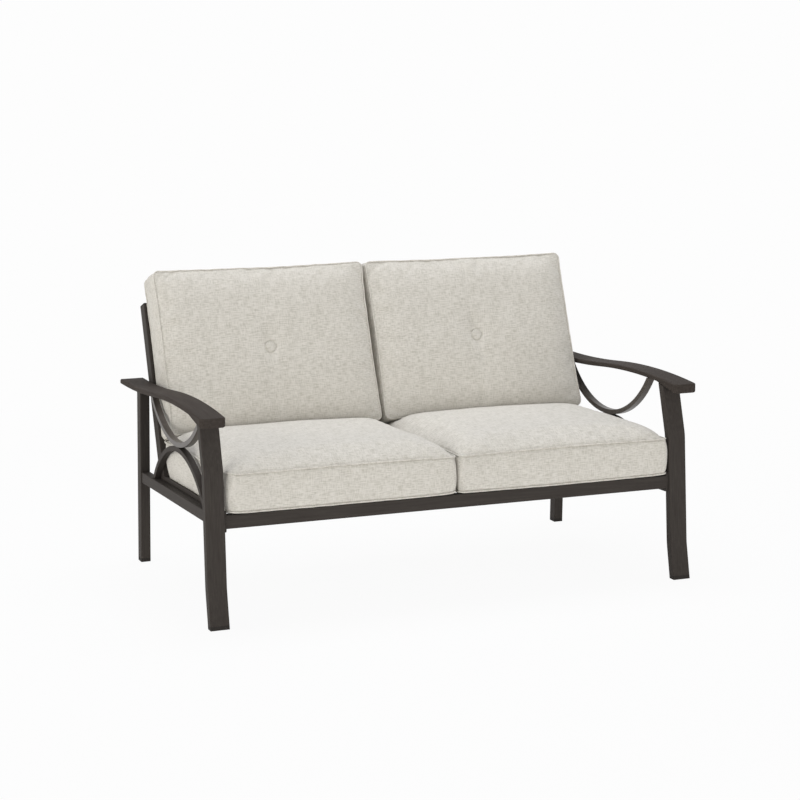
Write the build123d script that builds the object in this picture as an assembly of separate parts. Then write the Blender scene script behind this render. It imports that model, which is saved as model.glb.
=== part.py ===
from build123d import *
import math
import os

# Outdoor loveseat: two welded side frames, a welded seat and back frame bolted between them,
# two seat cushions and two tufted back cushions. Millimetres; X across, Y front to rear, Z up.

# Whole seat
overall_width = 1380.0      # over the armrests
tube_wall = 1.6
overrun = 2.0               # how far a cutting shape passes the face that it cuts
edge_softness = 2.5         # outer corner radius of the rectangular tubes

# Armrest: a flat box section with a shallow S in side view and a deeper nose
armrest_width = 66.5
armrest_thickness = 13.0
armrest_front_y = 12.0
armrest_past_back = 74.0    # from the back bolt to the armrest's rear end
armrest_peak_y = 215.0
armrest_peak_z = 538.6
armrest_front_radius = 2270.0
armrest_rear_radius = 2860.0
armrest_join_share = 0.749  # of the deck's depth, where the armrest's curve turns over
nose_height = 25.5
nose_length = 105.0
nose_corner_radius = 11.0
armrest_edge_radius = 4.0
cap_flange = 3.0            # rear closing cap of the armrest
cap_spigot = 15.0
cap_clearance = 0.25

# Front leg: a bent flat tube, wide face to the front
front_leg_width = 50.0
front_leg_depth = 24.0
ankle_y, ankle_z = 20.0, 96.3         # lower bend, measured on the front face
knee_y, knee_z = 40.0, 387.0          # upper bend
front_leg_top_y, front_leg_top_z = 86.0, 541.0
ankle_radius = 160.0
knee_radius = 90.0
foot_height = 10.0
foot_plug = 16.0

# Rear leg
rear_leg_width = 27.0
rear_leg_depth = 33.0
rear_leg_past_back = 14.0   # from the back bolt to the leg's front face, at its head
rear_leg_splay = 17.0       # of its foot, behind its head
rear_leg_head_z = 525.0

# Side rail, and the slope that it shares with the seat
rail_width = 24.0
rail_height = 30.0
seat_slope = 1.8            # degrees, down to the rear
rail_top_z = 276.6          # at the rail's reference point, rail_start_y
rail_start_y = 53.0

# The two bent bars of the side panel: an upper one hung from the armrest, a lower one on the rail
arc_bar_width = 17.0
arc_bar_thickness = 13.0
upper_arc_radius = 314.0
lower_arc_radius = 296.0
arc_touch_share = 0.536     # of the way from the front leg's knee to the rear leg's head
arc_touch_z = 386.6
arc_tilt = 2.9              # degrees, mean of the armrest's and the rail's slope
arc_reach = 58.0            # degrees drawn each way from the touching point

# Seat frame
side_plate_thickness = 6.0  # flat bar along each side, bolted to the side frame
side_plate_rise = 9.0       # above the deck, and below the front rail
side_plate_corner = 6.0
seat_front_y = 65.0         # rear top edge of the front rail, where the deck starts
seat_front_z = 278.2
front_rail_depth = 25.0
front_rail_height = 35.0
member_height = 30.0
deck_depth = 514.0          # along the deck, from the front rail to the plane of the back
rear_rail_depth = 25.0
centre_member_width = 25.0
brace_height = 20.0
slat_width = 40.0
slat_thickness = 4.0
slats_per_side = 5

# Back frame
back_lean = 21.1            # degrees from upright
upright_width = 20.0
upright_depth = 40.0
upright_length = 487.6      # from the deck to the top, along the upright
back_rail_depth = 20.0
back_rail_height = 30.0
lower_back_rail = 141.6     # from the deck to its lower face, along the back
back_slat_width = 30.0
back_slat_thickness = 4.0
back_slats_per_side = 4
centre_post_width = 25.0
upright_cap_height = 4.0

# Fasteners
bolt_diameter = 8.0
bolt_hole = 9.0
bolt_head_across = 13.0
bolt_head_height = 5.3
bolt_end = 14.0             # past the side frame's inner face
washer_diameter = 16.0
washer_thickness = 1.6
insert_diameter = 11.0
insert_length = 16.0
insert_bore = 8.2
front_bolt_from_front = 40.0          # along the deck, behind the front rail
rear_bolt_from_back = 60.0            # along the deck, ahead of the back
back_bolt_diameter = 6.0
back_bolt_hole = 6.8
back_bolt_head_across = 10.0
back_bolt_head_height = 4.0
back_insert_diameter = 8.0
back_insert_bore = 6.2
crossing_steps = 6          # rounds that find where the upright's middle crosses the armrest's

# Cushions
cushion_clearance = 0.3     # to what a cushion rests on
seat_cushion_centre_gap = 6.0         # between the pair
seat_cushion_side_gap = 7.0           # to the side frame
back_cushion_centre_gap = 2.0
back_cushion_side_gap = 3.0
seat_cushion_overhang = 30.0          # ahead of the deck's start
seat_cushion_rear_gap = 6.0
seat_cushion_edge = 99.0
seat_cushion_crown = 44.0
back_cushion_edge = 86.0
back_cushion_crown = 22.0
back_cushion_bottom = 112.0           # along the back, from the deck
back_cushion_height = 456.0
cushion_shoulder = 62.0     # how far in from the seam the crown has risen
cushion_bulge = 7.0         # of the boxing between its seams
cushion_corner_inset = 9.0
least_crown = 1.0           # left at the cushion's ends
shoulder_rise_share = 0.8   # of the crown, reached where the shoulder ends
shoulder_middle_share = 0.42          # of the shoulder's width, at its steepest part
shoulder_middle_rise_share = 0.52     # of the crown, there
tuft_drop = 14.0            # of the button below the cushion's centre
tuft_width = 96.0
tuft_depth = 13.0
button_diameter = 31.0
button_height = 9.0
button_rim_share = 0.35     # of the button's height

half_width = overall_width / 2
inner_plane = half_width - armrest_width
frame_half = inner_plane - side_plate_thickness
slope = math.radians(seat_slope)
deck_frame = Plane(origin=(0, seat_front_y, seat_front_z), x_dir=(1, 0, 0),
                   z_dir=(0, math.sin(slope), math.cos(slope)))
lean = math.radians(back_lean)
back_origin = deck_frame.from_local_coords(Vector(0, deck_depth, 0))
armrest_join_y = seat_front_y + deck_depth * armrest_join_share
back_frame = Plane(origin=back_origin, x_dir=(1, 0, 0), z_dir=(0, math.sin(lean), math.cos(lean)))


def side_extrude(face, start, width):
    """A face drawn as (y, z) becomes a solid from X = start to start + width."""
    return extrude(Plane.YZ.offset(start) * face, amount=width)


def polygon(*points):
    return make_face(Polyline(*points, close=True))


def block(x_size, y_size, z_size, x_low, y_low, z_low):
    """A box given by its size and its lowest corner."""
    return Pos(x_low, y_low, z_low) * Box(x_size, y_size, z_size, align=(Align.MIN,) * 3)


def tube_along(axis_name, x_size, y_size, z_size, x_low, y_low, z_low):
    """A rectangular tube with soft outer corners, open at both ends along one axis."""
    outer = block(x_size, y_size, z_size, x_low, y_low, z_low)
    outer = fillet(outer.edges().filter_by(axis_name), edge_softness)
    size = [x_size, y_size, z_size]
    low = [x_low, y_low, z_low]
    for i, axis in enumerate((Axis.X, Axis.Y, Axis.Z)):
        inward = -overrun if axis == axis_name else tube_wall
        size[i] -= 2 * inward
        low[i] += inward
    return outer - block(*size, *low)


def disc(diameter, height):
    """A cylinder standing on the origin."""
    return Cylinder(diameter / 2, height, align=(Align.CENTER,) * 2 + (Align.MIN,))


def cylinder_x(diameter, length, x_low, y, z):
    return Pos(x_low, y, z) * Rot(0, 90, 0) * disc(diameter, length)


def both_sides(name, solid):
    """The right piece and its mirror image on the left."""
    return {name + "_right": solid, name + "_left": mirror(solid, about=Plane.YZ)}


# Armrest

def armrest_point(y, below):
    """A point of the armrest's side view: on its top line at y, moved square to it by below."""
    turn = math.asin((min(y, armrest_join_y) - armrest_peak_y) / armrest_front_radius)
    centre_z = armrest_peak_z - armrest_front_radius
    reach = armrest_front_radius - below
    if y > armrest_join_y:
        rear_y = armrest_join_y + armrest_rear_radius * math.sin(turn)
        rear_z = centre_z + (armrest_front_radius + armrest_rear_radius) * math.cos(turn)
        turn = math.asin((rear_y - y) / armrest_rear_radius)
        reach = armrest_rear_radius + below
        return rear_y - reach * math.sin(turn), rear_z - reach * math.cos(turn)
    return armrest_peak_y + reach * math.sin(turn), centre_z + reach * math.cos(turn)


def back_bolt_place():
    """(y, z) where the upright's middle line crosses the armrest's, for the bolt through both."""
    middle = upright_depth / 2
    y = back_origin.Y
    for _ in range(crossing_steps):
        z = armrest_point(y, armrest_thickness / 2)[1]
        along = (z - back_origin.Z + middle * math.sin(lean)) / math.cos(lean)
        y = back_origin.Y + middle * math.cos(lean) + along * math.sin(lean)
    return y, z


back_bolt_y, back_bolt_z = back_bolt_place()
armrest_end_y = back_bolt_y + armrest_past_back - cap_flange
rear_leg_head_y = back_bolt_y + rear_leg_past_back
rear_leg_foot_y = rear_leg_head_y + rear_leg_splay
arc_touch_y = knee_y + arc_touch_share * (rear_leg_head_y - knee_y)


def armrest_line(y_from, y_to, below):
    return ThreePointArc(*[armrest_point(y, below) for y in (y_from, (y_from + y_to) / 2, y_to)])


def armrest_face(inset, rear_extra):
    """Side view of the armrest, or of its hollow when inset is the wall."""
    front = armrest_front_y + inset
    rear = armrest_end_y + rear_extra
    thick_y = armrest_front_y + nose_length
    low = armrest_thickness - inset
    nose_low = (front, armrest_point(front, 0)[1] - nose_height + inset)
    return make_face([
        armrest_line(front, armrest_join_y, inset),
        armrest_line(armrest_join_y, rear, inset),
        Line(armrest_point(rear, inset), armrest_point(rear, low)),
        armrest_line(armrest_join_y, rear, low),
        armrest_line(thick_y, armrest_join_y, low),
        Line(armrest_point(thick_y, low), nose_low),
        Line(nose_low, armrest_point(front, inset)),
    ])


def over_armrest():
    """Everything above the armrest's underside, to end the pieces that it rests on."""
    high = armrest_peak_z + 2 * upper_arc_radius
    front = armrest_front_y
    thick_y = armrest_front_y + nose_length
    rear = armrest_end_y
    nose_low = (front, armrest_point(front, 0)[1] - nose_height)
    face = make_face([
        Line(nose_low, armrest_point(thick_y, armrest_thickness)),
        armrest_line(thick_y, armrest_join_y, armrest_thickness),
        armrest_line(armrest_join_y, rear, armrest_thickness),
        Line(armrest_point(rear, armrest_thickness), (rear, high)),
        Line((rear, high), (front, high)),
        Line((front, high), nose_low),
    ])
    return side_extrude(face, inner_plane - overrun, armrest_width + 2 * overrun)


def armrest_bar(inset, rear_extra):
    """The armrest as a full bar, its nose and long edges rounded, or its hollow when inset is the wall."""
    body = side_extrude(armrest_face(inset, rear_extra), inner_plane + inset, armrest_width - 2 * inset)
    nose_edges = body.faces().sort_by(Axis.Y)[0].edges().filter_by(Axis.X, reverse=True)
    body = fillet(nose_edges, nose_corner_radius - inset)
    front_edges = body.faces().sort_by(Axis.Y)[0].edges().filter_by(Axis.X)
    long_edges = [e for e in body.edges() if e.length > deck_depth / 4]
    return fillet(long_edges + [front_edges.sort_by(Axis.Z)[0]], armrest_edge_radius - inset)


def armrest():
    body = armrest_bar(0, 0)
    hollow = armrest_bar(tube_wall, overrun)
    insert_hole = cylinder_x(back_insert_diameter, tube_wall + 2 * overrun, inner_plane - overrun,
                             back_bolt_y, back_bolt_z)
    return body - hollow - insert_hole


def armrest_cap():
    y, z = armrest_point(armrest_end_y, armrest_thickness / 2)
    top_y, top_z = armrest_point(armrest_end_y, 0)
    middle_x = inner_plane + armrest_width / 2
    frame = Plane(origin=(middle_x, y, z), x_dir=(1, 0, 0), z_dir=(0, top_y - y, top_z - z))
    flange = Box(armrest_width, cap_flange, armrest_thickness, align=(Align.CENTER, Align.MIN, Align.CENTER))
    flange = fillet(flange.edges().filter_by(Axis.Y), armrest_edge_radius)
    flange = fillet(flange.faces().sort_by(Axis.Y)[-1].edges(), cap_flange / 3)
    shrink = 2 * (tube_wall + cap_clearance)
    spigot = Box(armrest_width - shrink, cap_spigot, armrest_thickness - shrink,
                 align=(Align.CENTER, Align.MAX, Align.CENTER))
    spigot = fillet(spigot.edges().filter_by(Axis.Y), armrest_edge_radius - tube_wall)
    return frame * (flange + spigot)


# Legs

def front_leg_envelope(inset):
    """The bent leg as a full bar, or its bore when inset is the wall, longer than the leg at both ends."""
    half = front_leg_depth / 2
    heel_drop = front_leg_depth
    toe = (-heel_drop * ankle_y / ankle_z + half, -heel_drop)
    points = [toe, (ankle_y + half, ankle_z), (knee_y + half, knee_z),
              (front_leg_top_y + half, front_leg_top_z)]
    path = Plane.YZ * FilletPolyline(*points, radius=[ankle_radius, knee_radius])
    start = Plane(origin=path @ 0, x_dir=(1, 0, 0), z_dir=path % 0)
    width = front_leg_width - 2 * inset
    depth = front_leg_depth - 2 * inset
    section = RectangleRounded(width, depth, edge_softness) if inset == 0 else Rectangle(width, depth)
    bar = sweep(start * section, path=path)
    return Pos(inner_plane + front_leg_width / 2, 0, 0) * bar


def rear_leg_envelope(inset):
    """The straight rear leg as a full bar, or its bore when inset is the wall."""
    rise = Vector(0, rear_leg_head_y - rear_leg_foot_y, rear_leg_head_z)
    start = Plane(origin=(inner_plane + rear_leg_width / 2, rear_leg_foot_y + rear_leg_depth / 2, 0),
                  x_dir=(1, 0, 0), z_dir=rise)
    width = rear_leg_width - 2 * inset
    depth = rear_leg_depth - 2 * inset
    section = RectangleRounded(width, depth, edge_softness) if inset == 0 else Rectangle(width, depth)
    bar = extrude(start.offset(-rear_leg_depth) * section, amount=rise.length + rear_leg_depth)
    return bar


def slab(z_low, z_high):
    """All of the part between two heights."""
    size = 2 * overall_width
    return block(size, size, z_high - z_low, -half_width, -half_width, z_low)


def leg(envelope):
    tube = (envelope(0) - envelope(tube_wall)) & slab(foot_height, front_leg_top_z + overall_width)
    return tube - over_armrest()


def foot(envelope):
    """Plastic foot: a pad under the tube and a plug up inside it."""
    pad = envelope(0) & slab(0, foot_height)
    plug = envelope(tube_wall + cap_clearance) & slab(foot_height - overrun, foot_height + foot_plug)
    return pad + plug


# Side rail and the two bent bars

def rail_top(y):
    return rail_top_z - math.tan(slope) * (y - rail_start_y)


def under_rail_top():
    """Everything below the side rail's top, to end the lower bar."""
    rear = rear_leg_foot_y
    low = -2 * lower_arc_radius
    face = polygon((0, low), (rear, low), (rear, rail_top(rear)), (0, rail_top(0)))
    return side_extrude(face, inner_plane - overrun, armrest_width)


def side_rail():
    front = rail_start_y - front_leg_depth / 2
    rear = rear_leg_head_y + rear_leg_depth / 2
    frame = Plane(origin=(inner_plane, front, rail_top(front)), x_dir=(1, 0, 0),
                  z_dir=(0, math.sin(slope), math.cos(slope)))
    length = (rear - front) / math.cos(slope)
    tube = frame * tube_along(Axis.Y, rail_width, length, rail_height, 0, 0, -rail_height)
    tube = tube - front_leg_envelope(0) - rear_leg_envelope(0)
    for y, z in seat_bolt_places():
        tube -= cylinder_x(insert_diameter, tube_wall + 2 * overrun, inner_plane - overrun, y, z)
    return tube


def arc_bar(radius, upward):
    """A bent flat bar that touches the other one at the shared point; upward opens it to the armrest."""
    tilt = math.radians(arc_tilt)
    side = 1 if upward else -1
    right_angle = 90.0
    centre = (arc_touch_y + side * radius * math.sin(tilt), arc_touch_z + side * radius * math.cos(tilt))
    middle = -side * right_angle - arc_tilt
    first = middle - arc_reach
    outer = CenterArc(centre, radius, first, 2 * arc_reach)
    inner = CenterArc(centre, radius - arc_bar_thickness, first, 2 * arc_reach)
    face = make_face([outer, inner, Line(outer @ 0, inner @ 0), Line(outer @ 1, inner @ 1)])
    return side_extrude(face, inner_plane, arc_bar_width)


def upper_arc():
    return arc_bar(upper_arc_radius, True) - over_armrest()


def lower_arc():
    return arc_bar(lower_arc_radius, False) - under_rail_top()


# Seat frame, drawn in the deck's own frame: y along the deck, z = 0 on its top

def seat_front_rail():
    length = 2 * frame_half
    return deck_frame * tube_along(Axis.X, length, front_rail_depth, front_rail_height,
                                   -frame_half, -front_rail_depth, -front_rail_height)


def seat_rear_rail():
    half = inner_plane - upright_width
    return deck_frame * tube_along(Axis.X, 2 * half, rear_rail_depth, member_height,
                                   -half, deck_depth, -member_height)


def side_plate():
    """Flat bar on edge from the front rail to the upright, standing a little over the deck."""
    height = front_rail_height + 2 * side_plate_rise
    length = front_rail_depth + deck_depth + upright_depth
    bar = block(side_plate_thickness, length, height, frame_half, -front_rail_depth, side_plate_rise - height)
    corners = bar.edges().filter_by(Axis.X).group_by(Axis.Y)[0]
    bar = deck_frame * fillet(corners, side_plate_corner)
    bar -= back_frame * block(overall_width, overall_width, 2 * overall_width, 0, 0, -overall_width)
    for y, z in seat_bolt_places():
        bar -= cylinder_x(bolt_hole, side_plate_thickness + 2 * overrun, frame_half - overrun, y, z)
    return bar


def seat_centre_member():
    return deck_frame * tube_along(Axis.Y, centre_member_width, deck_depth, member_height,
                                   -centre_member_width / 2, 0, -member_height)


def seat_brace():
    """Cross tube that carries the slats half way back, on the right of the centre member."""
    start = centre_member_width / 2
    length = frame_half - start
    return deck_frame * tube_along(Axis.X, length, brace_height, brace_height, start,
                                   (deck_depth - brace_height) / 2, -slat_thickness - brace_height)


def slat_places(per_side, inner_edge, outer_edge):
    """Evenly spaced centres between two edges, for the right side."""
    pitch = (outer_edge - inner_edge) / per_side
    return [inner_edge + pitch * (i + 0.5) for i in range(per_side)]


def seat_slat(x):
    return deck_frame * block(slat_width, deck_depth, slat_thickness, x - slat_width / 2, 0, -slat_thickness)


def seat_bolt_places():
    """(y, z) of the two bolts through each side plate, level with the middle of the side rail."""
    along = (front_bolt_from_front, deck_depth - rear_bolt_from_back)
    points = [deck_frame.from_local_coords(Vector(0, s, -member_height / 2)) for s in along]
    return [(p.Y, p.Z) for p in points]


# Back frame, drawn in the back's own frame: y to the rear, z up along the back

def upright_envelope(inset):
    width = upright_width - 2 * inset
    depth = upright_depth - 2 * inset
    low = -2 * member_height
    bar = block(width, depth, upright_length - low, inner_plane - upright_width + inset, inset, low)
    if inset == 0:
        bar = fillet(bar.edges().filter_by(Axis.Z), edge_softness)
    return back_frame * bar


def back_upright():
    tube = upright_envelope(0) - upright_envelope(tube_wall)
    under_deck = deck_frame * block(overall_width, overall_width, overall_width, 0,
                                    -overall_width / 2, -member_height - overall_width)
    tube -= under_deck
    return tube - cylinder_x(back_bolt_hole, 2 * upright_width, inner_plane - upright_width - overrun,
                             back_bolt_y, back_bolt_z)


def upright_cap():
    width, depth = upright_width, upright_depth
    low_x = inner_plane - upright_width
    head = block(width, depth, upright_cap_height, low_x, 0, upright_length)
    head = fillet(head.edges().filter_by(Axis.Z), edge_softness)
    head = fillet(head.faces().sort_by(Axis.Z)[-1].edges(), upright_cap_height / 3)
    inset = tube_wall + cap_clearance
    plug = block(width - 2 * inset, depth - 2 * inset, cap_spigot,
                 low_x + inset, inset, upright_length - cap_spigot)
    return back_frame * (head + plug)


def centre_post():
    low = -2 * member_height
    tube = back_frame * tube_along(Axis.Z, centre_post_width, back_rail_depth, upright_length - low,
                                   -centre_post_width / 2, 0, low)
    size = overall_width
    under_deck = deck_frame * block(size, size, size, -half_width, 0, -size)
    top_rail_space = back_frame * block(size, size, back_rail_height + overrun, -half_width,
                                        -half_width, upright_length - back_rail_height)
    return tube - under_deck - top_rail_space


def top_back_rail():
    half = inner_plane - upright_width
    return back_frame * tube_along(Axis.X, 2 * half, back_rail_depth, back_rail_height, -half, 0,
                                   upright_length - back_rail_height)


def lower_back_rail_half():
    start = centre_post_width / 2
    length = inner_plane - upright_width - start
    return back_frame * tube_along(Axis.X, length, back_rail_depth, back_rail_height,
                                   start, 0, lower_back_rail)


def back_slat(x):
    low = lower_back_rail + back_rail_height
    high = upright_length - back_rail_height
    return back_frame * block(back_slat_width, back_slat_thickness, high - low,
                              x - back_slat_width / 2, 0, low)


# Fasteners

def hex_bolt(diameter, across, head_height, head_x, end_x, y, z):
    """Bolt along X: its head's bearing face at head_x, its end at end_x."""
    head = extrude(RegularPolygon(across / 2, 6, major_radius=False), amount=-head_height)
    return Pos(head_x, y, z) * Rot(0, 90, 0) * (head + disc(diameter, end_x - head_x))


def ring_x(outer, inner, length, x_low, y, z):
    return (cylinder_x(outer, length, x_low, y, z)
            - cylinder_x(inner, length + 2 * overrun, x_low - overrun, y, z))


def mirrored_group(solids):
    """Identical pieces of both sides, kept as separate solids of one node."""
    pairs = [(solid.solid(), mirror(solid, about=Plane.YZ).solid()) for solid in solids]
    return Compound([solid for pair in pairs for solid in pair])


def seat_fasteners():
    head_x = frame_half - washer_thickness
    bolts = [hex_bolt(bolt_diameter, bolt_head_across, bolt_head_height, head_x, inner_plane + bolt_end, y, z)
             for y, z in seat_bolt_places()]
    washers = [ring_x(washer_diameter, bolt_diameter + cap_clearance, washer_thickness, head_x, y, z)
               for y, z in seat_bolt_places()]
    inserts = [ring_x(insert_diameter, insert_bore, insert_length, inner_plane, y, z)
               for y, z in seat_bolt_places()]
    return {"seat_bolts": mirrored_group(bolts), "seat_washers": mirrored_group(washers),
            "seat_threaded_inserts": mirrored_group(inserts)}


def back_fasteners():
    head_x = inner_plane - upright_width
    bolt = hex_bolt(back_bolt_diameter, back_bolt_head_across, back_bolt_head_height, head_x,
                    inner_plane + bolt_end, back_bolt_y, back_bolt_z)
    insert = ring_x(back_insert_diameter, back_insert_bore, insert_length, inner_plane,
                    back_bolt_y, back_bolt_z)
    return {"back_bolts": mirrored_group([bolt]), "back_threaded_inserts": mirrored_group([insert])}


# Cushions, each drawn flat: x across, y along, z through its thickness from the seam of its underside

half_places_share = [0.0, 0.3, 0.55, 0.76, 0.9, 0.97, 1.0]
half_inset_share = [0.0, 0.0, 0.0, 0.02, 0.12, 0.42, 1.0]
half_crown_share = [1.0, 0.985, 0.94, 0.84, 0.62, 0.32, 0.0]


def cushion_section(x, half_length, edge, crown, inset):
    """Outline of the cushion cut across at x, its corners drawn in by inset."""
    b = half_length - inset
    low = inset / 2
    top = edge - inset / 2
    shoulder_y = b - cushion_shoulder
    shoulder_z = top + shoulder_rise_share * crown
    mid_y = b - cushion_shoulder * shoulder_middle_share
    mid_z = top + shoulder_middle_rise_share * crown
    pinch = b - cushion_bulge
    edges = [
        Line((-pinch, low), (pinch, low)),
        ThreePointArc((pinch, low), (b, (low + top) / 2), (pinch, top)),
        ThreePointArc((pinch, top), (mid_y, mid_z), (shoulder_y, shoulder_z)),
        ThreePointArc((shoulder_y, shoulder_z), (0, top + crown), (-shoulder_y, shoulder_z)),
        ThreePointArc((-shoulder_y, shoulder_z), (-mid_y, mid_z), (-pinch, top)),
        ThreePointArc((-pinch, top), (-b, (low + top) / 2), (-pinch, low)),
    ]
    return Plane.YZ.offset(x) * make_face(edges)


def cushion(width, length, edge, crown):
    """Half of the cushion lofted from its middle to its side, with its mirror image."""
    sections = []
    for place, inset, crown_share in zip(half_places_share, half_inset_share, half_crown_share):
        crown_here = least_crown + crown * crown_share
        sections.append(cushion_section(place * width / 2, length / 2, edge, crown_here,
                                        inset * cushion_corner_inset))
    half = loft(sections, ruled=True)
    return half + mirror(half, about=Plane.YZ)


seat_cushion_width = inner_plane - seat_cushion_side_gap - seat_cushion_centre_gap / 2
back_cushion_width = inner_plane - back_cushion_side_gap - back_cushion_centre_gap / 2


def seat_cushion():
    length = seat_cushion_overhang + deck_depth - seat_cushion_rear_gap
    middle_x = (seat_cushion_centre_gap + seat_cushion_width) / 2
    middle_y = length / 2 - seat_cushion_overhang
    body = cushion(seat_cushion_width, length, seat_cushion_edge, seat_cushion_crown)
    return deck_frame * Pos(middle_x, middle_y, cushion_clearance) * body


def back_cushion_place():
    """Moves a flat cushion onto the back: its underside to the slats, its length up the back."""
    middle_x = (back_cushion_centre_gap + back_cushion_width) / 2
    middle_z = back_cushion_bottom + back_cushion_height / 2
    return Location(back_frame) * Pos(middle_x, -cushion_clearance, middle_z) * Rot(90, 0, 0)


def back_cushion():
    body = cushion(back_cushion_width, back_cushion_height, back_cushion_edge, back_cushion_crown)
    radius = ((tuft_width / 2) ** 2 + tuft_depth ** 2) / (2 * tuft_depth)
    top = back_cushion_edge + back_cushion_crown
    body -= Pos(0, -tuft_drop, top - tuft_depth + radius) * Sphere(radius)
    return back_cushion_place() * body


def tuft_button():
    """Covered button: a low dome that sits at the bottom of the tuft."""
    radius = ((tuft_width / 2) ** 2 + tuft_depth ** 2) / (2 * tuft_depth)
    half = button_diameter / 2
    sag = radius - math.sqrt(radius ** 2 - half ** 2)
    base = back_cushion_edge + back_cushion_crown - tuft_depth + sag
    rim = button_height * button_rim_share
    drum = fillet(disc(button_diameter, rim).edges(), rim / 3)
    crown_radius = (half ** 2 + (button_height - rim) ** 2) / (2 * (button_height - rim))
    dome = Pos(0, 0, button_height - crown_radius) * Sphere(crown_radius)
    dome &= Pos(0, 0, rim / 2) * disc(button_diameter - 2 * rim / 3, button_height)
    return back_cushion_place() * Pos(0, -tuft_drop, base) * (drum + dome)


def build_all():
    nodes = {}
    nodes.update(both_sides("armrest", armrest()))
    nodes.update(both_sides("armrest_cap", armrest_cap()))
    nodes.update(both_sides("front_leg", leg(front_leg_envelope)))
    nodes.update(both_sides("rear_leg", leg(rear_leg_envelope)))
    nodes.update(both_sides("front_foot", foot(front_leg_envelope)))
    nodes.update(both_sides("rear_foot", foot(rear_leg_envelope)))
    nodes.update(both_sides("side_rail", side_rail()))
    nodes.update(both_sides("upper_arc", upper_arc()))
    nodes.update(both_sides("lower_arc", lower_arc()))
    nodes["seat_front_rail"] = seat_front_rail()
    nodes["seat_rear_rail"] = seat_rear_rail()
    nodes["seat_centre_member"] = seat_centre_member()
    nodes.update(both_sides("seat_side_plate", side_plate()))
    nodes.update(both_sides("seat_brace", seat_brace()))
    seat_places = slat_places(slats_per_side, centre_member_width / 2, frame_half)
    for number, x in enumerate(seat_places, 1):
        nodes.update(both_sides(f"seat_slat_{number}", seat_slat(x)))
    nodes.update(both_sides("back_upright", back_upright()))
    nodes.update(both_sides("upright_cap", upright_cap()))
    nodes["back_centre_post"] = centre_post()
    nodes["top_back_rail"] = top_back_rail()
    nodes.update(both_sides("lower_back_rail", lower_back_rail_half()))
    back_places = slat_places(back_slats_per_side, centre_post_width / 2, inner_plane - upright_width)
    nodes.update(both_sides("back_slats", Compound([back_slat(x).solid() for x in back_places])))
    nodes.update(seat_fasteners())
    nodes.update(back_fasteners())
    nodes.update(both_sides("seat_cushion", seat_cushion()))
    nodes.update(both_sides("back_cushion", back_cushion()))
    nodes.update(both_sides("tuft_button", tuft_button()))
    return nodes


os.makedirs("parts", exist_ok=True)
all_nodes = build_all()
boxes = [shape.bounding_box() for shape in all_nodes.values()]
front_y = min(box.min.Y for box in boxes)
rear_y = max(box.max.Y for box in boxes)
low_z = min(box.min.Z for box in boxes)
to_origin = Pos(0, -(front_y + rear_y) / 2, -low_z)
for node_name, shape in all_nodes.items():
    export_step(to_origin * shape, f"parts/{node_name}.step")
print(len(all_nodes), "nodes; moved by", (to_origin.position.Y, to_origin.position.Z))
print("size", 2 * half_width, rear_y - front_y, max(box.max.Z for box in boxes) - low_z)
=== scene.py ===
import math

import bmesh
import bpy
import numpy as np
from mathutils import Matrix, Vector, noise


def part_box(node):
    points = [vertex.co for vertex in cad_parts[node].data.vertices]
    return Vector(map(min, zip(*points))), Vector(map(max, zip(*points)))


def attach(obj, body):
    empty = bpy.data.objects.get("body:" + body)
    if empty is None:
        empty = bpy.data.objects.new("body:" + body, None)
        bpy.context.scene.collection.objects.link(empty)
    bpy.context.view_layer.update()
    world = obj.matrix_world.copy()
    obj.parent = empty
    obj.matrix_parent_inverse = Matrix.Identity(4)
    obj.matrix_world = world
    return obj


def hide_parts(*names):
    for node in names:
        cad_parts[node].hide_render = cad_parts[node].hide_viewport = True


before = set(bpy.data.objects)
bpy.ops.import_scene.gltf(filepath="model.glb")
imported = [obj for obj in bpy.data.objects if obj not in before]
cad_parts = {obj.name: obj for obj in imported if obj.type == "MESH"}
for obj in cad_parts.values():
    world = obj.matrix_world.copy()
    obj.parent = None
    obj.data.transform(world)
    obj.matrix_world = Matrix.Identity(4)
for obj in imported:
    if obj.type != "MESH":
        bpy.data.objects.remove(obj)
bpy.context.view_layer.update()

# Outdoor loveseat: a powder-coated tube frame, two seat cushions and two buttoned back cushions.
# Metres, in the frame's own axes: X across, Y front to rear, Z up.

mm = 0.001
scene = bpy.context.scene


# Camera: higher than the back and to the left of the front, looking down as the photograph does

photoCamera = {
    "focalPixels": 2151.64, "imagePixels": 800, "sensor": 36, "shiftY": -0.1,
    "place": (-2176.57 * mm, -5332.64 * mm, 1501.94 * mm), "yaw": 22.116, "pitch": -8.052,
}


def makeCamera(look):
    camera = bpy.data.objects.new("camera", bpy.data.cameras.new("camera"))
    scene.collection.objects.link(camera)
    camera.data.sensor_width = look["sensor"]
    camera.data.lens = look["focalPixels"] / look["imagePixels"] * look["sensor"]
    camera.data.shift_y = look["shiftY"]
    camera.location = look["place"]
    camera.rotation_euler = (math.radians(90 + look["pitch"]), 0, -math.radians(look["yaw"]))
    scene.camera = camera


makeCamera(photoCamera)


# Materials

def linear(hexColour):
    parts = [int(hexColour[i:i + 2], 16) / 255 for i in (1, 3, 5)]
    return [p / 12.92 if p <= 0.04045 else ((p + 0.055) / 1.055) ** 2.4 for p in parts] + [1.0]


def addNode(tree, kind, inputs=None, stops=None, **settings):
    node = tree.nodes.new(kind)
    for key, value in settings.items():
        setattr(node, key, value)
    for key, value in (inputs or {}).items():
        if isinstance(value, bpy.types.NodeSocket):
            tree.links.new(value, node.inputs[key])
        else:
            node.inputs[key].default_value = value
    if stops:       # a colour ramp's (position, hex colour) pairs
        ends = node.color_ramp.elements
        for end, (position, colour) in zip(ends, (stops[0], stops[-1])):
            end.position, end.color = position, linear(colour)
        for position, colour in stops[1:-1]:
            ends.new(position).color = linear(colour)
    return node


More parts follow.
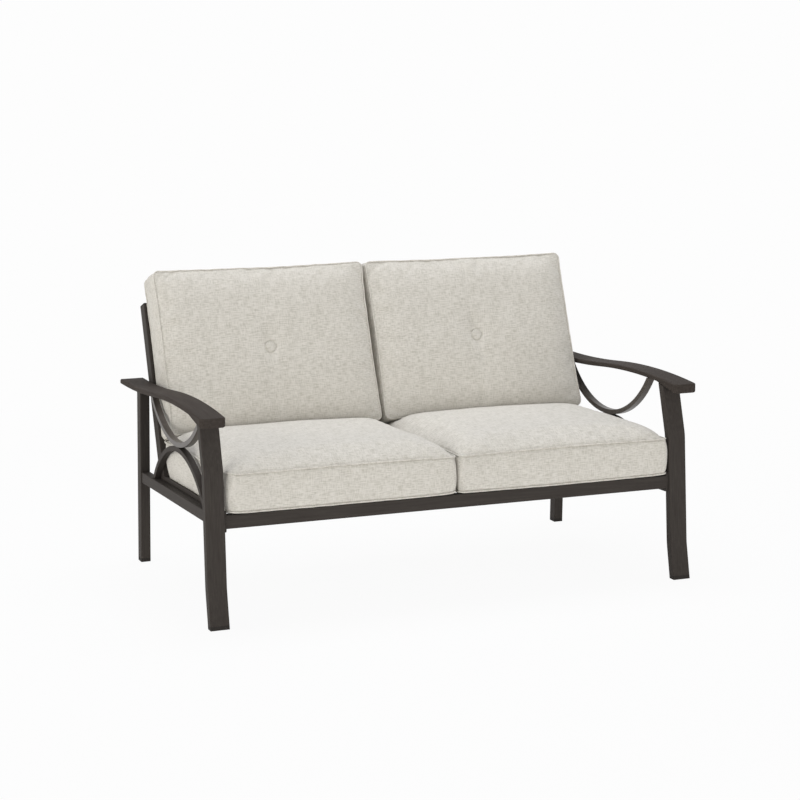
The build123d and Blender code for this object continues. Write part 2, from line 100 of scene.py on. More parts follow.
def startMaterial(name):
    material = bpy.data.materials.new(name)
    material.use_nodes = True
    return material, material.node_tree, material.node_tree.nodes["Principled BSDF"]


# Solution-dyed olefin, plain woven from uneven heather yarns: matte, with short darker slubs both ways
linenLook = {
    "tones": ((0.15, "#b9b5aa"), (0.42, "#c6c2b9"), (0.55, "#cdc9c0"), (0.85, "#d5d1c9")),
    "yarn": 1.3 * mm,           # from thread to thread
    "slubLong": 17 * mm, "slubWide": 2.3 * mm,    # drawn wider than a yarn, to show in the render
    "cloud": 34 * mm,
    "weft": 1.2, "warp": 0.8, "clouding": 0.35, "mixRange": (0.82, 1.5),    # how slubs and clouds are mixed
    "threadHigh": 0.25 * mm, "threadShows": 0.6, "slubHigh": 0.7 * mm, "slubShows": 0.5,
    "roughness": 0.95, "sheen": 0.12, "sheenRough": 0.5, "specular": 0.2,
}


def makeLinen(look):
    material, tree, shader = startMaterial("olefin_linen_weave")
    uv = addNode(tree, "ShaderNodeUVMap", uv_map="weave").outputs["UV"]
    slubs = []
    for lengths in ((look["slubLong"], look["slubWide"], 1), (look["slubWide"], look["slubLong"], 1)):
        stretched = addNode(tree, "ShaderNodeMapping", {"Vector": uv, "Scale": [1 / s for s in lengths]})
        slubs.append(addNode(tree, "ShaderNodeTexNoise", {
            "Vector": stretched.outputs["Vector"], "Scale": 1, "Detail": 2, "Roughness": 0.5}).outputs["Fac"])
    weft = addNode(tree, "ShaderNodeMath", {0: slubs[0], 1: look["weft"]}, operation="MULTIPLY").outputs[0]
    slub = addNode(tree, "ShaderNodeMath", {0: slubs[1], 1: look["warp"], 2: weft},
                   operation="MULTIPLY_ADD").outputs[0]
    cloud = addNode(tree, "ShaderNodeTexNoise", {
        "Vector": uv, "Scale": 1 / look["cloud"], "Detail": 3, "Roughness": 0.6}).outputs["Fac"]
    mixed = addNode(tree, "ShaderNodeMath", {0: cloud, 1: look["clouding"], 2: slub},
                    operation="MULTIPLY_ADD").outputs[0]
    low, high = look["mixRange"]
    level = addNode(tree, "ShaderNodeMapRange", {"Value": mixed, "From Min": low, "From Max": high})
    colour = addNode(tree, "ShaderNodeValToRGB", {"Fac": level.outputs[0]}, stops=look["tones"])
    tree.links.new(colour.outputs["Color"], shader.inputs["Base Color"])
    threads = []
    for direction in ("X", "Y"):
        threads.append(addNode(tree, "ShaderNodeTexWave", {
            "Vector": uv, "Scale": math.pi / 10 / look["yarn"], "Distortion": 0.8, "Detail": 1},
            bands_direction=direction).outputs["Fac"])
    over = addNode(tree, "ShaderNodeTexChecker", {"Vector": uv, "Scale": 1 / look["yarn"]}).outputs["Fac"]
    plain = addNode(tree, "ShaderNodeMix", {0: over, 2: threads[0], 3: threads[1]})
    weave = addNode(tree, "ShaderNodeBump", {
        "Height": plain.outputs[0], "Distance": look["threadHigh"], "Strength": look["threadShows"]})
    surface = addNode(tree, "ShaderNodeBump", {
        "Height": slub, "Distance": look["slubHigh"], "Strength": look["slubShows"],
        "Normal": weave.outputs["Normal"]})
    tree.links.new(surface.outputs["Normal"], shader.inputs["Normal"])
    shader.inputs["Roughness"].default_value = look["roughness"]
    shader.inputs["Sheen Weight"].default_value = look["sheen"]
    shader.inputs["Sheen Roughness"].default_value = look["sheenRough"]
    shader.inputs["Specular IOR Level"].default_value = look["specular"]
    return material


# Dark bronze polyester powder coat on steel tube: satin, a fine orange peel, faint streaks along the tube
coatLook = {
    "tones": ((0.3, "#373330"), (0.5, "#3c3835"), (0.72, "#423e3a")), "glint": "#e6d9d0",
    "streakLong": 130 * mm, "streakWide": 4 * mm, "streakRough": 0.62,
    "peel": 1.1 * mm, "peelHigh": 0.08 * mm, "peelShows": 0.4,
    "roughness": (0.5, 0.62), "specular": 0.06,
}
# Duller on the armrests, with broader streaks
armCoatLook = dict(coatLook, tones=((0.3, "#352f2c"), (0.5, "#3c3733"), (0.72, "#433d39")),
                   streakWide=7 * mm, roughness=(0.6, 0.7), specular=0.035)
# Glossier on the upper of the bent bars
arcCoatLook = dict(coatLook, glint="#f3dcc8", roughness=(0.26, 0.34), specular=0.42)


def makeCoat(look, axis, use="tube"):
    material, tree, shader = startMaterial(f"bronze_powder_coat_{use}_{'xyz'[axis]}")
    place = addNode(tree, "ShaderNodeTexCoord").outputs["Object"]
    lengths = [look["streakWide"]] * 3
    lengths[axis] = look["streakLong"]
    along = addNode(tree, "ShaderNodeMapping", {"Vector": place, "Scale": [1 / s for s in lengths]})
    streaks = addNode(tree, "ShaderNodeTexNoise", {
        "Vector": along.outputs["Vector"], "Scale": 1, "Detail": 4,
        "Roughness": look["streakRough"]}).outputs["Fac"]
    colour = addNode(tree, "ShaderNodeValToRGB", {"Fac": streaks}, stops=look["tones"])
    tree.links.new(colour.outputs["Color"], shader.inputs["Base Color"])
    low, high = look["roughness"]
    rough = addNode(tree, "ShaderNodeMapRange", {"Value": streaks, "To Min": low, "To Max": high})
    tree.links.new(rough.outputs[0], shader.inputs["Roughness"])
    peel = addNode(tree, "ShaderNodeTexNoise", {"Vector": place, "Scale": 1 / look["peel"], "Detail": 2})
    surface = addNode(tree, "ShaderNodeBump", {
        "Height": peel.outputs["Fac"], "Distance": look["peelHigh"], "Strength": look["peelShows"]})
    tree.links.new(surface.outputs["Normal"], shader.inputs["Normal"])
    shader.inputs["Specular IOR Level"].default_value = look["specular"]
    shader.inputs["Specular Tint"].default_value = linear(look["glint"])
    return material


# Charcoal nylon, injection moulded: matte with a fine grain, close to the coat's own darkness
nylonLook = {
    "tones": ((0.3, "#292624"), (0.7, "#33302d")), "grain": 0.7 * mm, "grainHigh": 0.05 * mm, "grainShows": 0.5,
    "roughness": 0.75, "specular": 0.12,
}


def makeNylon(look):
    material, tree, shader = startMaterial("charcoal_nylon")
    place = addNode(tree, "ShaderNodeTexCoord").outputs["Object"]
    grain = addNode(tree, "ShaderNodeTexNoise", {"Vector": place, "Scale": 1 / look["grain"], "Detail": 2})
    colour = addNode(tree, "ShaderNodeValToRGB", {"Fac": grain.outputs["Fac"]}, stops=look["tones"])
    tree.links.new(colour.outputs["Color"], shader.inputs["Base Color"])
    surface = addNode(tree, "ShaderNodeBump", {
        "Height": grain.outputs["Fac"], "Distance": look["grainHigh"], "Strength": look["grainShows"]})
    tree.links.new(surface.outputs["Normal"], shader.inputs["Normal"])
    shader.inputs["Roughness"].default_value = look["roughness"]
    shader.inputs["Specular IOR Level"].default_value = look["specular"]
    return material


# Zinc-plated steel: bright, with a slightly cloudy plating
zincLook = {"tones": ((0.35, "#8d8f92"), (0.65, "#abadaf")), "cloud": 6 * mm, "roughness": (0.28, 0.42)}


def makeZinc(look):
    material, tree, shader = startMaterial("zinc_plated_steel")
    place = addNode(tree, "ShaderNodeTexCoord").outputs["Object"]
    cloud = addNode(tree, "ShaderNodeTexNoise", {"Vector": place, "Scale": 1 / look["cloud"], "Detail": 4})
    colour = addNode(tree, "ShaderNodeValToRGB", {"Fac": cloud.outputs["Fac"]}, stops=look["tones"])
    low, high = look["roughness"]
    rough = addNode(tree, "ShaderNodeMapRange", {"Value": cloud.outputs["Fac"], "To Min": low, "To Max": high})
    tree.links.new(colour.outputs["Color"], shader.inputs["Base Color"])
    tree.links.new(rough.outputs[0], shader.inputs["Roughness"])
    shader.inputs["Metallic"].default_value = 1.0
    return material


linen = makeLinen(linenLook)
coats = [makeCoat(coatLook, axis) for axis in range(3)]
armCoat = makeCoat(armCoatLook, 1, "armrest")
arcCoat = makeCoat(arcCoatLook, 1, "arc")
nylon = makeNylon(nylonLook)
zinc = makeZinc(zincLook)

for name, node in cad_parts.items():
    low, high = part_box(name)
    longest = max(range(3), key=lambda i: (high - low)[i])
    material = coats[longest]
    if "foot" in name or "_cap" in name:
        material = nylon
    elif "bolts" in name or "washers" in name or "inserts" in name:
        material = zinc
    elif "armrest" in name:
        material = armCoat
    elif "upper_arc" in name:
        material = arcCoat
    for slot in node.material_slots:
        slot.material = material
print("stage: frame finished in its coat")


# The planes that the cushions lie on, each drawn flat: X across, Y along, Z out from the plane

deckPlane = {"origin": (0, -331.2 * mm, 278.2 * mm), "slope": 1.8}
backPlane = {"origin": (0, 182.55 * mm, 262.05 * mm), "lean": 21.1}
touch = 0.3 * mm        # from a cushion to what it rests on


def planeMatrix(origin, along, out):
    across = Vector((1, 0, 0))
    rows = [(across[i], along[i], out[i], origin[i] + out[i] * touch) for i in range(3)]
    return Matrix(rows + [(0, 0, 0, 1)])


slope, lean = math.radians(deckPlane["slope"]), math.radians(backPlane["lean"])
onDeck = planeMatrix(deckPlane["origin"], (0, math.cos(slope), -math.sin(slope)),
                     (0, math.sin(slope), math.cos(slope)))
onBack = planeMatrix(backPlane["origin"], (0, math.sin(lean), math.cos(lean)),
                     (0, -math.cos(lean), math.sin(lean)))


# Cushions

seatLook = {
    "name": "seat_cushion", "inner": 4 * mm, "outer": 616.5 * mm, "start": -28 * mm, "end": 507 * mm,
    "seamShift": 7 * mm,        # the pair meets a little to the right of the middle
    "beside": (617.5 * mm, 14 * mm),        # the side plate's inner face, and a level just above its top
    "give": 2 * mm, "widen": 2,         # the depth over which it flattens there, and its slope above that level
    "edge": 99 * mm, "under": 3.5 * mm, "restShare": 0.4,       # of under, below which the cloth rests
    "crown": 45 * mm, "rise": 25 * mm, "lowRise": 1,
    "corner": {"left": (32 * mm, 14 * mm), "right": (9 * mm, 18 * mm)},     # outer, inner
    "lift": {"left": (4 * mm, 4 * mm), "right": (4 * mm, 1 * mm)},          # of the lower seam, outer, inner
    "peak": {"left": (4 * mm, 0), "right": (2 * mm, 0)},                    # of the upper seam
    "cornerEase": 7, "drawIn": 2.5 * mm, "bulge": 5 * mm, "taper": 0,
    "leanBack": 33 * mm, "flare": 5 * mm, "droop": 0, "droopFrom": 0.4,
    "cell": 9 * mm, "closer": 1.3, "closerUp": 1.6, "room": 3 * mm,
    "wave": (2.4 * mm, 150 * mm), "pucker": (1.1 * mm, 26 * mm), "fade": 22 * mm,
    "groove": 3.8 * mm, "seamWave": 0.35, "welt": 2.5 * mm, "proud": 3.6 * mm, "fill": 0.85,
    "cover": {"quality": 6, "mass": 0.25, "stiffness": 15, "shearEase": 3, "bending": 0.4,
              "pressure": 4.0, "ease": 0.015, "frames": 20, "most": 6 * mm},
}
backLook = dict(
    seatLook, name="back_cushion", seamShift=0, beside=(623.5 * mm, 200 * mm),
    inner=2.5 * mm, outer=616.5 * mm, start=104 * mm, end=557.5 * mm,
    edge=86 * mm, crown=19 * mm, rise=34 * mm, lowRise=1.6, drawIn=4 * mm, room=2.5 * mm,
    corner={"left": (18 * mm, 16 * mm), "right": (18 * mm, 16 * mm)},
    lift={"left": (2 * mm, 2 * mm), "right": (2 * mm, 2 * mm)},
    peak={"left": (0, 0), "right": (0, 0)}, taper=4 * mm, leanBack=0, flare=0, droop=1 * mm,
    wave=(3.0 * mm, 130 * mm), pucker=(1.6 * mm, 30 * mm), groove=1.8 * mm,
    welt=2.2 * mm, proud=1.6 * mm, fill=0.8)
crownRise = {"steep": 0.85, "slow": 0.15}       # shares of the crown gained beside the seam and farther in
tuft = {
    "below": 5 * mm, "width": 84 * mm, "depth": 6 * mm, "held": 13 * mm, "patch": 30 * mm, "cuts": 2,
    "ring": 2.6 * mm, "ringOut": 0.8 * mm, "ringWide": 1.6 * mm,
}
button = {
    "radius": 15.5 * mm, "height": 3.6 * mm, "steps": 36,
    "profile": ((0, 1), (0.45, 0.96), (0.8, 0.78), (0.97, 0.4), (1, 0), (0.9, -0.5)),   # of radius and height
}
# The back cushion on the seat
press = {"level": 98 * mm, "reach": 84 * mm, "easing": 0.9, "soft": 5 * mm, "behind": -20 * mm}


def halfSizes(look):
    return (look["outer"] - look["inner"]) / 2, (look["end"] - look["start"]) / 2


def middleAcross(look, sign):
    return sign * (look["inner"] + look["outer"]) / 2


def onRim(p):
    return max(abs(p[0]), abs(p[1])) == 1


def crownShare(fromSeam, half, rise):
    fromSeam = max(fromSeam, 0)
    slow = crownRise["slow"] * (1 - min(fromSeam / half, 1)) ** 2
    return 1 - crownRise["steep"] * math.exp(-fromSeam / rise) - slow


def towardEnds(w, power):
    # Moves a value between -1 and 1 toward the nearer end, for smaller cells beside the seams
    return math.copysign(1 - (1 - abs(w)) ** power, w)


def planPoint(u, v, a, b, r, look):
    # A point of the square from -1 to 1, on a rectangle with round corners and drawn-in sides
    u, v = [towardEnds(w, look["closer"]) for w in (u, v)]
    x, y = abs(u) * a, abs(v) * b
    s, t = (x - a + r) / r, (y - b + r) / r
    if s > 0 and t > 0:
        x = a - r + r * s * math.sqrt(1 - t * t / 2)
        y = b - r + r * t * math.sqrt(1 - s * s / 2)
    x -= look["drawIn"] * (1 - v * v) * abs(u) ** 3
    y -= look["drawIn"] * (1 - u * u) * abs(v) ** 3
    return math.copysign(x, u), math.copysign(y, v)


def cushionShell(look, side):
    # Two panels joined by the boxing, shaped from flat squares; the cloth's own lengths go to the UV map
    a, b = halfSizes(look)
    nx, ny, nz = [max(2, round(size / look["cell"])) for size in (2 * a, 2 * b, look["edge"])]
    shell = bmesh.new()
    for level in (0, 1):
        panel = bmesh.ops.create_grid(shell, x_segments=nx, y_segments=ny, size=1)["verts"]
        bmesh.ops.translate(shell, verts=panel, vec=(0, 0, level))
    bmesh.ops.reverse_faces(shell, faces=[f for f in shell.faces if f.calc_center_median().z < 0.5])
    rims = [e for e in shell.edges if e.is_boundary]
    uprights = bmesh.ops.bridge_loops(shell, edges=rims)["edges"]
    bmesh.ops.subdivide_edges(shell, edges=uprights, cuts=nz - 1, use_grid_fill=True)
    bmesh.ops.recalc_face_normals(shell, faces=shell.faces)
    shell.verts.index_update()
    for vert in shell.verts:
        vert.co.z = 0.5 + 0.5 * towardEnds(2 * vert.co.z - 1, look["closerUp"])
    unit = {v.index: v.co.copy() for v in shell.verts}
    weave = shell.loops.layers.uv.new("weave")
    for face in shell.faces:
        middle = face.calc_center_median()
        for loop in face.loops:
            u, v, t = unit[loop.vert.index]
            if middle.z in (0.0, 1.0):
                place = (u * a, v * b + 2 * b * middle.z)
            elif abs(middle.x) > abs(middle.y):
                place = (v * b + 5 * a, t * look["edge"])
            else:
                place = (u * a, t * look["edge"] + 5 * b)
            loop[weave].uv = place
    sign = -1 if side == "left" else 1
    for vert in shell.verts:
        u, v, t = unit[vert.index]
        which = 0 if u * sign > 0 else 1        # outer or inner half
        x, y = planPoint(u, v, a, b, look["corner"][side][which], look)
        if 0 < t < 1:
            swell = look["bulge"] * math.sin(math.pi * t)
            out = Vector((x / a if abs(u) == 1 else 0, y / b if abs(v) == 1 else 0)).normalized()
            x, y = x + out.x * swell, y + out.y * swell
            z = look["under"] + t * (look["edge"] - look["under"])
        else:
            lowRise = look["rise"] * (look["lowRise"] if y < 0 else 1)
            share = max(0, crownShare(a - abs(x), a, look["rise"]) * crownShare(b - abs(y), b, lowRise))
            z = look["edge"] + look["crown"] * share if t else look["under"] * (1 - min(1, 3 * share))
        atCorner = (abs(u) * abs(v)) ** look["cornerEase"]
        z += (look["lift"][side][which] * (1 - t) + look["peak"][side][which] * t) * atCorner
        rear = max(v, 0) ** 3
        x += x / a * (look["flare"] * t * rear * (1 - which) - look["taper"] * t)
        y += look["leanBack"] * t * rear - look["droop"] * (t - look["droopFrom"]) * max(-v, 0) ** 6
        vert.co = (x, y, z)
    return shell, unit


def swellCover(piece, held, cover):
    # The cover swells and settles as cloth round its filling, with the seams held
    start = points(piece)
    group = piece.vertex_groups.new(name="held")
    group.add([int(k) for k in held], 1.0, "REPLACE")
    cloth = piece.modifiers.new("cover", "CLOTH")
    settings = cloth.settings
    settings.quality = cover["quality"]
    settings.mass = cover["mass"]
    settings.tension_stiffness = settings.compression_stiffness = cover["stiffness"]
    settings.shear_stiffness = cover["stiffness"] / cover["shearEase"]
    settings.bending_stiffness = cover["bending"]
    settings.use_pressure = True
    settings.uniform_pressure_force = cover["pressure"]
    settings.effector_weights.gravity = 0
    settings.vertex_group_mass = "held"
    settings.shrink_min = -cover["ease"]
    cloth.collision_settings.use_collision = False
    for moment in range(1, cover["frames"] + 1):
        scene.frame_set(moment)
    settled = points(piece.evaluated_get(bpy.context.evaluated_depsgraph_get()))
    piece.modifiers.remove(cloth)
    piece.vertex_groups.clear()
    scene.frame_set(1)
    move = settled - start
    far = np.maximum(np.linalg.norm(move, axis=1, keepdims=True), 1e-9)
    print("   the cover moved up to", round(float(far.max()) / mm, 1), "mm")
    return start + move / far * cover["most"] * np.tanh(far / cover["most"])


def points(piece):
    co = np.zeros(len(piece.data.vertices) * 3)
    piece.data.vertices.foreach_get("co", co)
    return co.reshape(-1, 3)


def normals(piece):
    out = np.zeros(len(piece.data.vertices) * 3)
    piece.data.vertices.foreach_get("normal", out)
    return out.reshape(-1, 3)


def movePoints(piece, co):
    piece.data.vertices.foreach_set("co", np.asarray(co, float).reshape(-1))
    piece.data.update()


def softLimit(value, start, room):
    # Lets a value go past start by no more than room
    over = np.maximum(value - start, 0)
    return np.where(value > start, start + room * np.tanh(over / room), value)


def unevenCover(piece, look, unit, seed):
    # Slow waves of the filling, puckers that run in from the seams, and the groove beside the welts
    (waveHigh, waveLong), (puckerHigh, puckerLong) = look["wave"], look["pucker"]
    a, b = halfSizes(look)
    moved = []
    for k, (p, n) in enumerate(zip(points(piece), normals(piece))):
        u, v, t = unit[k]
        dx, dy = max(a - abs(p[0]), 0), max(b - abs(p[1]), 0)
        seam = onRim(unit[k]) and t in (0.0, 1.0)
        resting = t == 0 and p[2] < look["restShare"] * look["under"]
        height = waveHigh * noise.noise(Vector(p) / waveLong + Vector((seed, 0, 0)))
        if 0 < t < 1:
            along = p[1] if abs(u) == 1 else p[0]
            height += puckerHigh * noise.noise(Vector((along / puckerLong, seed, 2.0 * t)))
        else:
            fromEnds = noise.noise(Vector((p[0] / puckerLong, seed + 3, t))) * math.exp(-dy / look["fade"])
            fromSides = noise.noise(Vector((p[1] / puckerLong, seed + 5, t))) * math.exp(-dx / look["fade"])
            height += 2 * puckerHigh * (fromEnds + fromSides)
        if seam:
            height = look["seamWave"] * height - look["groove"]
        moved.append(p if resting else p + n * height)
    movePoints(piece, moved)


def layBeside(places, look, sign, radius=0):
    # Against its twin, and against the frame beside it, a cushion flattens instead of going in
    co = np.array(places, float)
    centre = middleAcross(look, sign)
    clear, give = touch + radius, look["give"]
    away = sign * (co[:, 0] + centre - look["seamShift"])
    away = -softLimit(-away, -clear - give, give)
    wide = away + sign * look["seamShift"]
    face, faceHigh = look["beside"]
    wide = softLimit(wide, face - clear - give + look["widen"] * np.maximum(co[:, 2] - faceHigh, 0), give)
    co[:, 0] = sign * wide - centre
    return co


def pressUnderBack(piece, matrix):
    # The back cushion's lower side presses the rear of the seat down, softly
    toBack = onBack.inverted() @ matrix
    co = points(piece)
    for k, p in enumerate(co):
        q = toBack @ Vector(p)
        limit = press["level"] + press["easing"] * max(q.z - press["reach"], 0)
        if q.y > limit - press["soft"] and q.z > press["behind"]:
            q.y = float(softLimit(q.y, limit - press["soft"], press["soft"]))
            co[k] = toBack.inverted() @ q
    movePoints(piece, co)


def tuckRing(mesh, dimple):
    # A finer patch round the button, with the ring where the cloth is drawn under it
    shape = bmesh.new()
    shape.from_mesh(mesh)
    centre = Vector((0, -dimple["below"], 0))

    def away(vert):
        return (vert.co.xy - centre.xy).length

    def inPatch(vert):
        return vert.co.z > backLook["edge"] and away(vert) < dimple["patch"]

    near = [v for v in shape.verts if inPatch(v)]
    edges = {e for v in near for e in v.link_edges if all(w.co.z > backLook["edge"] for w in e.verts)}
    bmesh.ops.subdivide_edges(shape, edges=list(edges), cuts=dimple["cuts"], use_grid_fill=True)
    for vert in shape.verts:
        if inPatch(vert):
            fromRing = away(vert) - button["radius"] - dimple["ringOut"]
            vert.co.z -= dimple["ring"] * math.exp(-(fromRing / dimple["ringWide"]) ** 2)
    shape.to_mesh(mesh)
    shape.free()


def seamLoop(piece, unit, level, proud):
    # The seam's points, in order round the cushion
    ring = [k for k, p in unit.items() if p.z == level and onRim(p)]
    ring.sort(key=lambda k: math.atan2(unit[k].y, unit[k].x))
    co, out = points(piece), normals(piece)
    return [Vector(co[k]) + Vector(out[k]) * proud for k in ring]


def makeWelt(name, route, radius):
    # A cord covered in the same cloth, sewn into the seam
    curve = bpy.data.curves.new(name, "CURVE")
    curve.dimensions = "3D"
    curve.bevel_depth = radius
    curve.bevel_resolution = 3
    spline = curve.splines.new("POLY")
    spline.points.add(len(route) - 1)
    for point, place in zip(spline.points, route):
        point.co = (*place, 1)
    spline.use_cyclic_u = True
    holder = bpy.data.objects.new(name + "_line", curve)
    scene.collection.objects.link(holder)
    mesh = bpy.data.meshes.new_from_object(holder.evaluated_get(bpy.context.evaluated_depsgraph_get()))
    bpy.data.objects.remove(holder)
    bpy.data.curves.remove(curve)
    length = sum((p - q).length for p, q in zip(route, route[1:] + route[:1]))
    cloth = mesh.uv_layers[0]
    cloth.name = "weave"
    for corner in cloth.data:
        corner.uv = (corner.uv.x * length, corner.uv.y * 2 * math.pi * radius)
    return mesh


def addPiece(name, mesh, body, matrix):
    piece = bpy.data.objects.new(name, mesh)
    scene.collection.objects.link(piece)
    mesh.materials.clear()
    mesh.materials.append(linen)
    mesh.transform(matrix)
    mesh.shade_smooth()
    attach(piece, body)
    return piece


def fromButton(co, dimple):
    return np.hypot(co[:, 0], co[:, 1] + dimple["below"])


def dimpleFace(co, look, dimple):
    # Draws the face in round the button, and gives the points that the button holds
    away = fromButton(co, dimple)
    face = co[:, 2] > look["edge"]
    dip = np.clip(1 - away / (dimple["width"] / 2), 0, 1) ** 2 * face
    co[:, 2] -= dimple["depth"] * dip
    return list(np.nonzero(face & (away < dimple["held"]))[0])


def keepInRoom(co, look, sign):
    # The swollen sides stay near the cushion's own outline, and its underside above the plane
    a, b = halfSizes(look)
    high = np.clip(co[:, 2] / look["edge"], 0, 1)
    flare = look["flare"] * (co[:, 0] * sign > 0) * high
    rearward = np.where(co[:, 1] > 0, look["leanBack"] * high, look["droop"] * (high - look["droopFrom"]))
    for i, half in ((0, a + flare), (1, b + rearward)):
        co[:, i] = np.sign(co[:, i]) * softLimit(abs(co[:, i]), half, look["room"])
    co[:, 2] = np.maximum(co[:, 2], 0)
    return co


def makeCushion(look, side, plane, seed, dimple=None):
    sign = -1 if side == "left" else 1
    look = dict(look, inner=look["inner"] + sign * look["seamShift"])
    name = look["name"] + "_" + side
    body = look["name"] + "_body_" + side
    shell, unit = cushionShell(look, side)
    mesh = bpy.data.meshes.new(name)
    shell.to_mesh(mesh)
    shell.free()
    worked = bpy.data.objects.new(name + "_worked", mesh)
    scene.collection.objects.link(worked)
    co = points(worked)
    held = [k for k, p in unit.items() if p.z in (0.0, 1.0) and onRim(p)]
    held += [k for k, p in unit.items() if p.z == 0 and co[k, 2] < look["restShare"] * look["under"]]
    if dimple:
        held += dimpleFace(co, look, dimple)
        movePoints(worked, co)
    movePoints(worked, keepInRoom(swellCover(worked, held, look["cover"]), look, sign))
    unevenCover(worked, look, unit, seed)
    middle = Matrix.Translation((middleAcross(look, sign), (look["start"] + look["end"]) / 2, 0))
    movePoints(worked, layBeside(points(worked), look, sign))
    if not dimple:
        pressUnderBack(worked, plane @ middle)
    welts = []
    for level in (0, 1):
        route = layBeside(seamLoop(worked, unit, level, look["proud"]), look, sign, look["welt"])
        welts.append(makeWelt(name + "_welt", [Vector(p) for p in route], look["welt"]))
    if dimple:
        co = points(worked)
        near = (fromButton(co, dimple) < dimple["held"]) & (co[:, 2] > look["edge"])
        seat = float(co[near, 2].mean())
    worked.modifiers.new("finer", "SUBSURF").levels = 1
    finer = bpy.data.meshes.new_from_object(worked.evaluated_get(bpy.context.evaluated_depsgraph_get()))
    bpy.data.objects.remove(worked)
    if dimple:
        tuckRing(finer, dimple)
    cover = addPiece(name + "_cover", finer, body, plane @ middle)
    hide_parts(name)
    for mesh, level in zip(welts, ("lower", "upper")):
        addPiece(f"{name}_{level}_welt", mesh, body, plane @ middle)
    if dimple:
        addButton(side, body, plane @ middle, seat, dimple)
    print("stage:", name)


def addButton(side, body, matrix, seat, dimple):
    # A metal button covered in the same cloth, drawn into the cushion by a thread
    shape = bmesh.new()
    r, h = button["radius"], button["height"]
    line = [shape.verts.new((x * r, 0, z * h)) for x, z in button["profile"]]
    edges = [shape.edges.new(pair) for pair in zip(line, line[1:])]
    bmesh.ops.spin(shape, geom=line + edges, cent=(0, 0, 0), axis=(0, 0, 1), dvec=(0, 0, 0),
                   angle=2 * math.pi, steps=button["steps"], use_merge=True, use_duplicate=False)
    bmesh.ops.remove_doubles(shape, verts=shape.verts, dist=1e-6)
    rim = [e for e in shape.edges if e.is_boundary]
    bmesh.ops.contextual_create(shape, geom=rim)
    bmesh.ops.recalc_face_normals(shape, faces=shape.faces)
    weave = shape.loops.layers.uv.new("weave")
    for face in shape.faces:
        for loop in face.loops:
            loop[weave].uv = loop.vert.co.xy
    mesh = bpy.data.meshes.new("tuft_button_cover_" + side)
    shape.to_mesh(mesh)
    shape.free()
    cover = addPiece("tuft_button_cover_" + side, mesh, body,
                     matrix @ Matrix.Translation((0, -dimple["below"], seat)))
    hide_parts("tuft_button_" + side)


# Each cushion's waves start at another place of the noise
waveSeeds, backApart = {"left": 3.1, "right": 8.4}, 2.3
for side, seed in waveSeeds.items():
    makeCushion(seatLook, side, onDeck, seed)
    makeCushion(backLook, side, onBack, seed + backApart, tuft)


# Floor and light

floorLook = {"colour": "#f6f6f6", "seen": "#fdfdfd", "half": 30.0, "near": (1.0, 2.8), "share": (0.96, 1.0)}


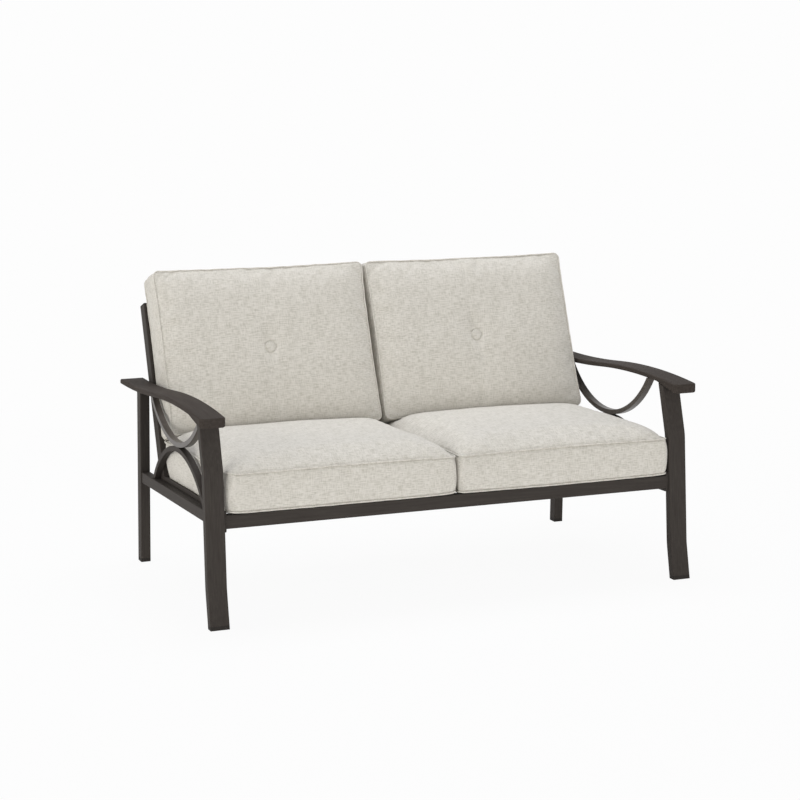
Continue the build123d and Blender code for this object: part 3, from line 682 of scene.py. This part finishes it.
def makeFloor(look):
    grid = bmesh.new()
    bmesh.ops.create_grid(grid, x_segments=1, y_segments=1, size=look["half"])
    mesh = bpy.data.meshes.new("floor")
    grid.to_mesh(mesh)
    grid.free()
    floor = bpy.data.objects.new("floor", mesh)
    scene.collection.objects.link(floor)
    material, tree, shader = startMaterial("pale_studio_floor")
    shader.inputs["Base Color"].default_value = linear(look["colour"])
    shader.inputs["Roughness"].default_value = 0.9
    shader.inputs["Specular IOR Level"].default_value = 0.1
    rays = addNode(tree, "ShaderNodeLightPath")
    direct = addNode(tree, "ShaderNodeMath", {0: rays.outputs["Is Camera Ray"], 1: rays.outputs["Is Glossy Ray"]},
                     operation="MAXIMUM")
    place = addNode(tree, "ShaderNodeTexCoord").outputs["Object"]
    away = addNode(tree, "ShaderNodeVectorMath", {0: place}, operation="LENGTH")
    near, far = look["near"]
    share = addNode(tree, "ShaderNodeMapRange", {
        "Value": away.outputs["Value"], "From Min": near, "From Max": far,
        "To Min": look["share"][0], "To Max": look["share"][1]}, interpolation_type="SMOOTHSTEP")
    seen = addNode(tree, "ShaderNodeMath", {0: direct.outputs[0], 1: share.outputs[0]}, operation="MULTIPLY")
    white = addNode(tree, "ShaderNodeEmission", {"Color": linear(look["seen"]), "Strength": 1.0})
    mixed = addNode(tree, "ShaderNodeMixShader", {
        0: seen.outputs[0], 1: shader.outputs["BSDF"], 2: white.outputs["Emission"]})
    tree.links.new(mixed.outputs["Shader"], tree.nodes["Material Output"].inputs["Surface"])
    mesh.materials.append(material)


lightLook = {
    "sky": 0.42, "skyColour": "#f7f8fa", "seen": "#fdfdfd",
    "top": {"place": (0.2, 0.8, 3.4), "size": (3.0, 1.8), "power": 91, "colour": "#f7f9ff"},
    "front": {"place": (1.1, -4.6, 0.55), "size": (3.0, 1.0), "power": 70, "colour": "#fffdf9"},
    "frontLeft": {"place": (-3.8, -3.2, 0.65), "size": (2.4, 1.2), "power": 42, "colour": "#fffdf9"},
    "left": {"place": (-4.6, -0.4, 1.4), "size": (3.6, 2.6), "power": 76, "colour": "#fffdf9"},
}


def makeSky(look):
    world = bpy.data.worlds.new("studio")
    scene.world = world
    world.use_nodes = True
    tree = world.node_tree
    tree.nodes.clear()
    rays = addNode(tree, "ShaderNodeLightPath")
    direct = addNode(tree, "ShaderNodeMath", {0: rays.outputs["Is Camera Ray"], 1: rays.outputs["Is Glossy Ray"]},
                     operation="MAXIMUM")
    lit = addNode(tree, "ShaderNodeBackground", {"Color": linear(look["skyColour"]), "Strength": look["sky"]})
    seen = addNode(tree, "ShaderNodeBackground", {"Color": linear(look["seen"]), "Strength": 1.0})
    mixed = addNode(tree, "ShaderNodeMixShader", {
        0: direct.outputs[0], 1: lit.outputs["Background"], 2: seen.outputs["Background"]})
    addNode(tree, "ShaderNodeOutputWorld", {"Surface": mixed.outputs["Shader"]})


def softbox(name, look):
    light = bpy.data.lights.new(name, "AREA")
    light.shape = "RECTANGLE"
    light.size, light.size_y = look["size"]
    light.energy = look["power"]
    light.color = linear(look["colour"])[:3]
    box = bpy.data.objects.new(name, light)
    box.location = look["place"]
    box.rotation_euler = (Vector((0, 0, 0.45)) - box.location).to_track_quat("-Z", "Y").to_euler()
    scene.collection.objects.link(box)


makeFloor(floorLook)
makeSky(lightLook)
for name in ("top", "front", "frontLeft", "left"):
    softbox(name, lightLook[name])
scene.view_settings.view_transform = "Standard"
print("stage: floor and light")
